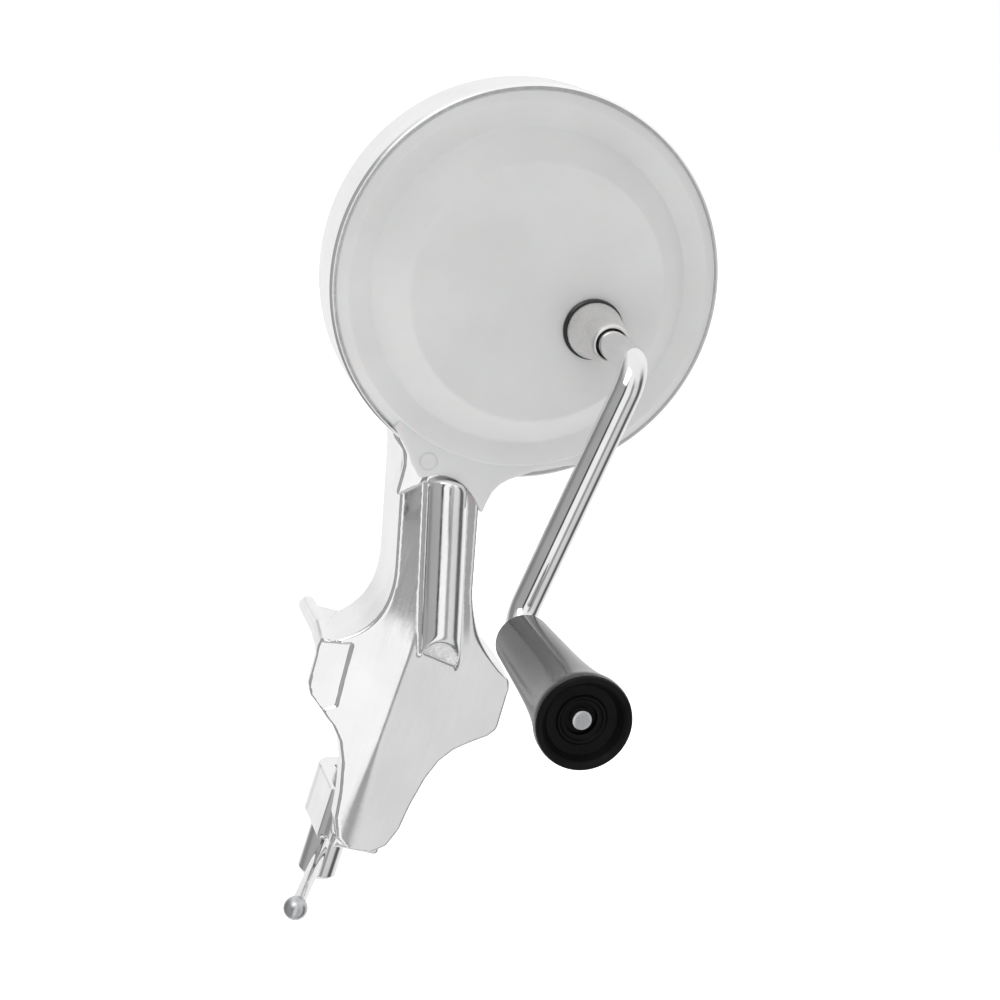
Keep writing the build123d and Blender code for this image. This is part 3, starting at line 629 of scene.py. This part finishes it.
def satin_nickel():
    shade = Shader("satin_nickel")
    drift = shade.noise(90, 3, 0.5)
    turning = shade.noise(800, 3, 0.6, (1, 14, 1))
    shade.join(shade.tint(drift, (0.74, 0.735, 0.72), (0.86, 0.855, 0.84)), shade.surface.inputs["Base Color"])
    shade.surface.inputs["Metallic"].default_value = 1.0
    shade.join(shade.between(turning, 0.22, 0.42, 0.3, 0.7), shade.surface.inputs["Roughness"])
    shade.relief(turning, 0.00002, 0.35)
    return shade.material


NICKEL = satin_nickel()
crank_collar = lathe(
    "crank_collar",
    crank_foot,
    AWAY,
    [
        (-16.8, 4.05, 0), (-16.8, 7.2, 0.3), (-17.5, 7.9, 0.4), (-18.6, 7.9, 0.2), (-33.4, 5.5, 0.3),
        (-34.4, 5.1, 0.35), (-34.6, 4.5, 0.1), (-33.6, 4.05, 0), (-16.8, 4.05, 0),
    ],
)
dress(crank_collar, NICKEL, "crank", "nickel", "crank_ferrule")


# ---------------------------------------------------------------- crank rod
# One length of drawn round bar, bent twice and chromed: shaft, arm and grip leg. The
# shaft runs through the collar and the cover into the drive gear.

def bright_chrome():
    shade = Shader("bright_chrome")
    drift = shade.noise(120, 3, 0.5)
    hairlines = shade.noise(1500, 3, 0.6, (1, 1, 0.15))
    shade.join(shade.tint(drift, (0.80, 0.80, 0.81), (0.88, 0.88, 0.885)), shade.surface.inputs["Base Color"])
    shade.surface.inputs["Metallic"].default_value = 1.0
    shade.join(shade.between(hairlines, 0.05, 0.13, 0.3, 0.7), shade.surface.inputs["Roughness"])
    shade.relief(hairlines, 0.00001, 0.25)
    return shade.material


CHROME = bright_chrome()
ROD_R = 4 * MM
ROD_BEND = 8.5 * MM
ARM_REACH = 60 * MM  # from the drum's rim to the crank's arm
grip_low, grip_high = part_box("grip")
grip_x = (grip_low[0] + grip_high[0]) / 2
grip_z = (grip_low[2] + grip_high[2]) / 2
arm_y = drum_y - ARM_REACH


def bent_line(stations, bend, steps=14):
    """Centre line through the stations with a round bend at each inner one."""
    line = [Vector(stations[0])]
    for before, here, after in zip(stations, stations[1:], stations[2:]):
        back = (Vector(before) - Vector(here)).normalized()
        ahead = (Vector(after) - Vector(here)).normalized()
        half = back.angle(ahead) / 2
        reach = bend / math.tan(half)
        centre = Vector(here) + (back + ahead).normalized() * (bend / math.sin(half))
        start = Vector(here) + back * reach - centre
        end = Vector(here) + ahead * reach - centre
        turn = start.rotation_difference(end)
        for step in range(steps + 1):
            spun = start.copy()
            if step == steps:
                spun.rotate(turn.to_matrix().to_4x4())
            else:
                spun.rotate(Matrix.Rotation(turn.angle * step / steps, 4, turn.axis))
            line.append(centre + spun)
    line.append(Vector(stations[-1]))
    return line


def round_bar(name, line, radius, segments=40, dome=0.0):
    """Round bar swept along a line, its ends closed, chamfered by dome."""
    mesh = bmesh.new()
    tangent = (line[1] - line[0]).normalized()
    side = tangent.orthogonal().normalized()
    stations = []
    for i, spot in enumerate(line):
        ahead = line[min(i + 1, len(line) - 1)]
        behind = line[max(i - 1, 0)]
        along = (ahead - behind).normalized()
        side = (side - along * side.dot(along)).normalized()
        stations.append((spot, along, side.copy(), radius))
    first, last = stations[0], stations[-1]
    if dome:
        stations[0] = (first[0] + first[1] * dome, first[1], first[2], radius)
        stations.insert(0, (first[0], first[1], first[2], radius - dome))
        stations[-1] = (last[0] - last[1] * dome, last[1], last[2], radius)
        stations.append((last[0], last[1], last[2], radius - dome))
    rings = []
    for spot, along, across, size in stations:
        other = along.cross(across)
        ring = []
        for s in range(segments):
            angle = 2 * math.pi * s / segments
            ring.append(mesh.verts.new(spot + (across * math.cos(angle) + other * math.sin(angle)) * size))
        rings.append(ring)
    for one, two in zip(rings, rings[1:]):
        for s in range(segments):
            t = (s + 1) % segments
            mesh.faces.new((one[s], one[t], two[t], two[s]))
    mesh.faces.new(rings[0])
    mesh.faces.new(rings[-1])
    bmesh.ops.recalc_face_normals(mesh, faces=mesh.faces)
    return finished(name, mesh)


crank_line = bent_line(
    [
        (crank_x, drum_y + 16.5 * MM, crank_z),
        (crank_x, arm_y, crank_z),
        (grip_x, arm_y, grip_z),
        (grip_x, drum_y - 68.7 * MM, grip_z),
    ],
    ROD_BEND,
    20,
)
crank_rod = round_bar("crank_bar", crank_line, ROD_R, 56)
dress(crank_rod, CHROME, "crank", "plated_steel", "crank_rod")


# ---------------------------------------------------------------- grip
# Moulded handle in black plastic, flared at its open end, with a hub inside for the pin
# that it turns on. The pin's flat head closes the hub and holds the grip on the crank.

grip_foot = (grip_x, drum_y, grip_z)
# a slim waist that opens into the flare
grip_side = [(-70.2 - 57.2 * u, 7.6 + 2.3 * u + 2.35 * u**4.5, 0) for u in [i / 28 for i in range(29)]]
grip_body = lathe(
    "grip_handle",
    grip_foot,
    AWAY,
    [
        (-71.2, 2.55, 0), (-69.0, 2.9, 0.2), (-69.0, 6.6, 0.8), *grip_side, (-128.6, 12.28, 0),
        (-129.6, 12.15, 0),
    ],
    segments=128,
    steps=8,
)
dress(grip_body, BLACK, "handle", "black_plastic", "grip")


# painted shade: the grip's black plastic made darker and less glossy, so the hollow of the flare and its rim read as
# if in shadow
def painted_shade_black():
    shade = Shader("painted_shade_black")
    drift = shade.noise(90, 3, 0.5)
    grain = shade.noise(900, 2, 0.6)
    shade.join(shade.tint(drift, (0.002, 0.002, 0.002), (0.005, 0.005, 0.005)), shade.surface.inputs["Base Color"])
    shade.join(shade.between(grain, 0.42, 0.58, 0.3, 0.7), shade.surface.inputs["Roughness"])
    shade.surface.inputs["Specular IOR Level"].default_value = 0.12
    shade.relief(grain, 0.00003, 0.4)
    return shade.material


# the well inside the flare and the rim's front wear the painted-shade black
grip_well = lathe(
    "grip_well",
    grip_foot,
    AWAY,
    [
        (-129.6, 12.15, 0), (-130.5, 11.9, 0.6), (-130.9, 10.9, 0.7), (-129.9, 10.0, 0.5), (-127.4, 8.9, 0.3),
        (-127.2, 6.5, 0.4), (-127.9, 6.0, 0.3), (-127.9, 5.6, 0.3), (-127.0, 5.0, 0.4), (-126.8, 4.1, 0.2),
        (-125.6, 4.0, 0), (-125.6, 2.55, 0), (-71.2, 2.55, 0),
    ],
    segments=128,
    steps=8,
)
dress(grip_well, painted_shade_black(), "handle", "black_plastic")

grip_pin = lathe(
    "grip_rivet",
    grip_foot,
    AWAY,
    [
        (-63.0, 0, 0), (-63.0, 2.5, 0), (-126.2, 2.5, 0), (-126.2, 2.6, 0), (-128.0, 2.5, 0.3),
        (-128.1, 1.8, 0.4), (-128.1, 0, 0),
    ],
)


def zinc_plating():
    shade = Shader("zinc_plating")
    drift = shade.noise(150, 3, 0.5)
    grain = shade.noise(1500, 3, 0.6)
    shade.join(shade.tint(drift, (0.55, 0.56, 0.57), (0.68, 0.68, 0.69)), shade.surface.inputs["Base Color"])
    shade.surface.inputs["Metallic"].default_value = 1.0
    shade.join(shade.between(grain, 0.26, 0.40, 0.3, 0.7), shade.surface.inputs["Roughness"])
    shade.relief(grain, 0.00002, 0.3)
    return shade.material


ZINC = zinc_plating()
dress(grip_pin, ZINC, "crank", "zinc_steel", "grip_pin")


# ---------------------------------------------------------------- clamp screw, foot and tommy bar
# Chromed steel screw in the boss's tapped hole: rolled thread, turned head, and a pad
# that swivels on its nose. A loose bar with two pressed-on balls slides through the head.

HEAD_TOP = -61.1
PITCH = 1.25


def threaded_bar(name, foot, low, high, radius, depth, pitch, segments=40):
    """Right-hand thread about +Z: one helical skin, closed at both ends by tapers."""
    mesh = bmesh.new()
    per_turn = 6
    shape = [0.0, 0.0, 0.5, 1.0, 1.0, 0.5]
    rows = int((high - low) / pitch * per_turn)
    rings = []
    for row in range(rows + 1):
        z = low + (high - low) * row / rows
        ring = []
        for s in range(segments):
            phase = ((z - low) / pitch - s / segments) % 1.0
            spot = phase * per_turn
            a, b = int(spot) % per_turn, (int(spot) + 1) % per_turn
            dip = shape[a] + (shape[b] - shape[a]) * (spot - int(spot))
            fade = min(1.0, (z - low) / pitch, (high - z) / pitch)
            chamfer = max(0.0, 1 - (high - z) / (0.8 * pitch))
            size = radius - depth * max(dip * fade, chamfer)
            angle = 2 * math.pi * s / segments
            point = Vector((size * math.cos(angle), size * math.sin(angle), z)) * MM
            ring.append(mesh.verts.new(point + Vector(foot)))
        rings.append(ring)
    for one, two in zip(rings, rings[1:]):
        for s in range(segments):
            t = (s + 1) % segments
            mesh.faces.new((one[s], one[t], two[t], two[s]))
    mesh.faces.new(rings[0])
    mesh.faces.new(rings[-1])
    bmesh.ops.recalc_face_normals(mesh, faces=mesh.faces)
    return finished(name, mesh, 50)


screw_thread = threaded_bar("screw_thread", (0, 0, 0), HEAD_TOP - 0.5, -10.4, 3.95, 0.62, PITCH)
dress(screw_thread, CHROME, "screw", "plated_steel", "clamp_screw")
screw_head = lathe(
    "screw_head",
    (0, 0, 0),
    (0, 0, 1),
    [(-80.1, 0, 0), (-80.1, 4.6, 0.5), (-78.6, 6.0, 0.6), (-62.2, 6.0, 0.6), (-61.2, 5.0, 0.4), (-61.1, 0, 0)],
)
dress(screw_head, CHROME, "screw", "plated_steel")
screw_nose = lathe(
    "screw_nose",
    (0, 0, 0),
    (0, 0, 1),
    [(-11.0, 0, 0), (-11.0, 2.5, 0), (-6.9, 2.5, 0.5), (-6.35, 1.6, 0.3), (-6.35, 0, 0)],
)
dress(screw_nose, CHROME, "screw", "plated_steel")
foot_pad = lathe(
    "foot_pad",
    (0, 0, 0),
    (0, 0, 1),
    [
        (-6.2, 0, 0), (-6.2, 2.56, 0), (-10.0, 2.56, 0), (-10.0, 5.6, 0.4), (-7.6, 6.2, 0.6), (-6.9, 7.5, 0.3),
        (-5.0, 7.5, 0.4), (-4.8, 6.6, 0.2), (-4.8, 0, 0),
    ],
)
dress(foot_pad, ZINC, "foot", "zinc_steel", "pressure_pad")

BAR_TURN = math.radians(19)
bar_way = Vector((-math.sin(BAR_TURN), -math.cos(BAR_TURN), 0))
bar_height = (HEAD_TOP - 9.3) * MM
BAR_OUT = 57.5
BAR_SPAN = 67.3
BALL_R = 3.5
bar_foot = Vector((0, 0, bar_height)) + bar_way * (BAR_OUT - BAR_SPAN) * MM
tommy_bar = lathe(
    "tommy_rod",
    bar_foot,
    bar_way,
    [(-1.0, 0, 0), (-1.0, 1.9, 0.3), (BAR_SPAN + 1.0, 1.9, 0.3), (BAR_SPAN + 1.0, 0, 0)],
    48,
)
dress(tommy_bar, CHROME, "bar", "plated_steel", "tommy_bar")
for end, place in (("inner", 0.0), ("outer", BAR_SPAN)):
    half_round = [(-BALL_R * math.cos(math.pi * i / 32), BALL_R * math.sin(math.pi * i / 32), 0) for i in range(33)]
    ball = lathe(f"tommy_ball_{end}", bar_foot + bar_way * place * MM, bar_way, half_round, 64)
    dress(ball, ZINC, "bar", "zinc_steel")
    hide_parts("tommy_balls")


# ---------------------------------------------------------------- kept CAD parts
# Wheels, pins, clips, bushes and the yarn's parts are cut, drawn or moulded to plain
# shapes, so they keep them here and only take their real finishes.

def dull_bronze():
    shade = Shader("dull_bronze")
    drift = shade.noise(200, 3, 0.5)
    shade.join(shade.tint(drift, (0.45, 0.30, 0.15), (0.58, 0.40, 0.22)), shade.surface.inputs["Base Color"])
    shade.surface.inputs["Metallic"].default_value = 1.0
    shade.join(shade.between(drift, 0.35, 0.5), shade.surface.inputs["Roughness"])
    return shade.material


def acetal():
    shade = Shader("acetal")
    drift = shade.noise(80, 3, 0.5)
    shade.join(shade.tint(drift, (0.78, 0.77, 0.72), (0.84, 0.83, 0.79)), shade.surface.inputs["Base Color"])
    shade.join(shade.between(drift, 0.32, 0.42), shade.surface.inputs["Roughness"])
    return shade.material


finish_of = {
    "cast_metal": CASTING,
    "cover_plastic": CLOUDY,
    "cone_plastic": CLOUDY,
    "plated_steel": CHROME,
    "black_plastic": BLACK,
    "nickel": NICKEL,
    "zinc_steel": ZINC,
    "bronze": dull_bronze(),
    "gear_plastic": acetal(),
}
for entry in frame["record"]["subparts"]:
    part = frame["nodes"][entry["node"]]
    part.data.materials.clear()
    part.data.materials.append(finish_of[entry["material_slot"]])


# ---------------------------------------------------------------- floor, light and camera
# A plain pale floor, two large soft boxes and a light room whose walls the plating
# mirrors. The camera stands to the left and a little above, held at a slant.

FLOOR_HALF = 20.0
FLOOR_DROP = 0.12  # how far the floor lies below the clamp's lowest point
floor_mesh = bmesh.new()
bmesh.ops.create_grid(floor_mesh, x_segments=1, y_segments=1, size=FLOOR_HALF)
floor = finished("floor", floor_mesh)
floor.location = (0, 0, cad_box[0][2] - FLOOR_DROP)
floor_finish = Shader("pale_floor")
floor_grain = floor_finish.noise(30, 2, 0.5)
floor_tone = floor_finish.tint(floor_grain, (0.90, 0.90, 0.90), (0.92, 0.92, 0.92))
floor_finish.join(floor_tone, floor_finish.surface.inputs["Base Color"])
floor_finish.surface.inputs["Roughness"].default_value = 0.9
floor_finish.surface.inputs["Emission Color"].default_value = (1, 1, 1, 1)
floor_finish.surface.inputs["Emission Strength"].default_value = 0.6
floor.data.materials.append(floor_finish.material)
floor.visible_glossy = False


def soft_box(name, spot, target, size, power):
    light = bpy.data.lights.new(name, "AREA")
    light.shape = "RECTANGLE"
    light.size = size[0]
    light.size_y = size[1]
    light.energy = power
    made = bpy.data.objects.new(name, light)
    made.location = spot
    made.rotation_euler = (Vector(target) - Vector(spot)).to_track_quat("-Z", "Y").to_euler()
    bpy.context.scene.collection.objects.link(made)
    return made


middle = Vector((0, -0.03, 0.05))
soft_box("key_light", (-0.9, -0.7, 1.0), middle, (0.9, 0.9), 3.5)
soft_box("fill_light", (0.9, -1.0, 0.5), middle, (0.8, 1.0), 0.2)

world = bpy.data.worlds.new("light_room")
bpy.context.scene.world = world
world.use_nodes = True
room = world.node_tree
background = room.nodes["Background"]
facing = room.nodes.new("ShaderNodeTexCoord")
around = room.nodes.new("ShaderNodeTexGradient")
around.gradient_type = "RADIAL"
walls = room.nodes.new("ShaderNodeValToRGB")
# (share of the way round the room, brightness): grey, dark and white panels
WALLS = [
    (0.0, 0.40), (0.13, 0.42), (0.145, 0.06), (0.165, 0.06), (0.18, 1.0), (0.272, 1.0), (0.28, 0.36),
    (0.32, 0.36), (0.33, 0.74), (0.41, 0.68), (0.44, 0.12), (0.49, 0.12), (0.53, 0.9), (0.60, 0.96),
    (0.80, 0.91), (0.86, 0.30), (0.93, 0.25),
]
for place, level in WALLS:
    stop = walls.color_ramp.elements.new(place) if place else walls.color_ramp.elements[0]
    stop.position = place
    stop.color = (level, level, level, 1)
walls.color_ramp.elements[-1].color = (0.4, 0.4, 0.4, 1)
height = room.nodes.new("ShaderNodeSeparateXYZ")
rise = room.nodes.new("ShaderNodeMapRange")
rise.inputs["From Min"].default_value = 0.35
rise.inputs["From Max"].default_value = 0.75
ceiling = room.nodes.new("ShaderNodeMix")
ceiling.data_type = "RGBA"
ceiling.inputs["B"].default_value = (1, 1, 1, 1)
seen = room.nodes.new("ShaderNodeLightPath")
plain = room.nodes.new("ShaderNodeMix")
plain.data_type = "RGBA"
plain.inputs["B"].default_value = (1, 1, 1, 1)
for source, target in (
    (facing.outputs["Generated"], around.inputs["Vector"]),
    (facing.outputs["Generated"], height.inputs["Vector"]),
    (around.outputs["Fac"], walls.inputs["Fac"]),
    (height.outputs["Z"], rise.inputs["Value"]),
    (rise.outputs["Result"], ceiling.inputs["Factor"]),
    (walls.outputs["Color"], ceiling.inputs["A"]),
    (seen.outputs["Is Camera Ray"], plain.inputs["Factor"]),
    (ceiling.outputs["Result"], plain.inputs["A"]),
    (plain.outputs["Result"], background.inputs["Color"]),
):
    room.links.new(source, target)
background.inputs["Strength"].default_value = 1.0
bpy.context.scene.view_settings.view_transform = "Standard"

camera_data = bpy.data.cameras.new("camera")
camera_data.lens = 93.6
camera_data.sensor_width = 36
camera_data.clip_end = 100
camera = bpy.data.objects.new("camera", camera_data)
right = Vector((0.9229, -0.2367, 0.3035))
up = Vector((-0.2354, 0.2767, 0.9316))
right.normalize()
back = right.cross(up).normalized()
up = back.cross(right)
stand = Matrix.Translation((-0.21866, -0.72847, 0.20455))
camera.matrix_world = stand @ Matrix((right, up, back)).transposed().to_4x4()
bpy.context.scene.collection.objects.link(camera)
bpy.context.scene.camera = camera
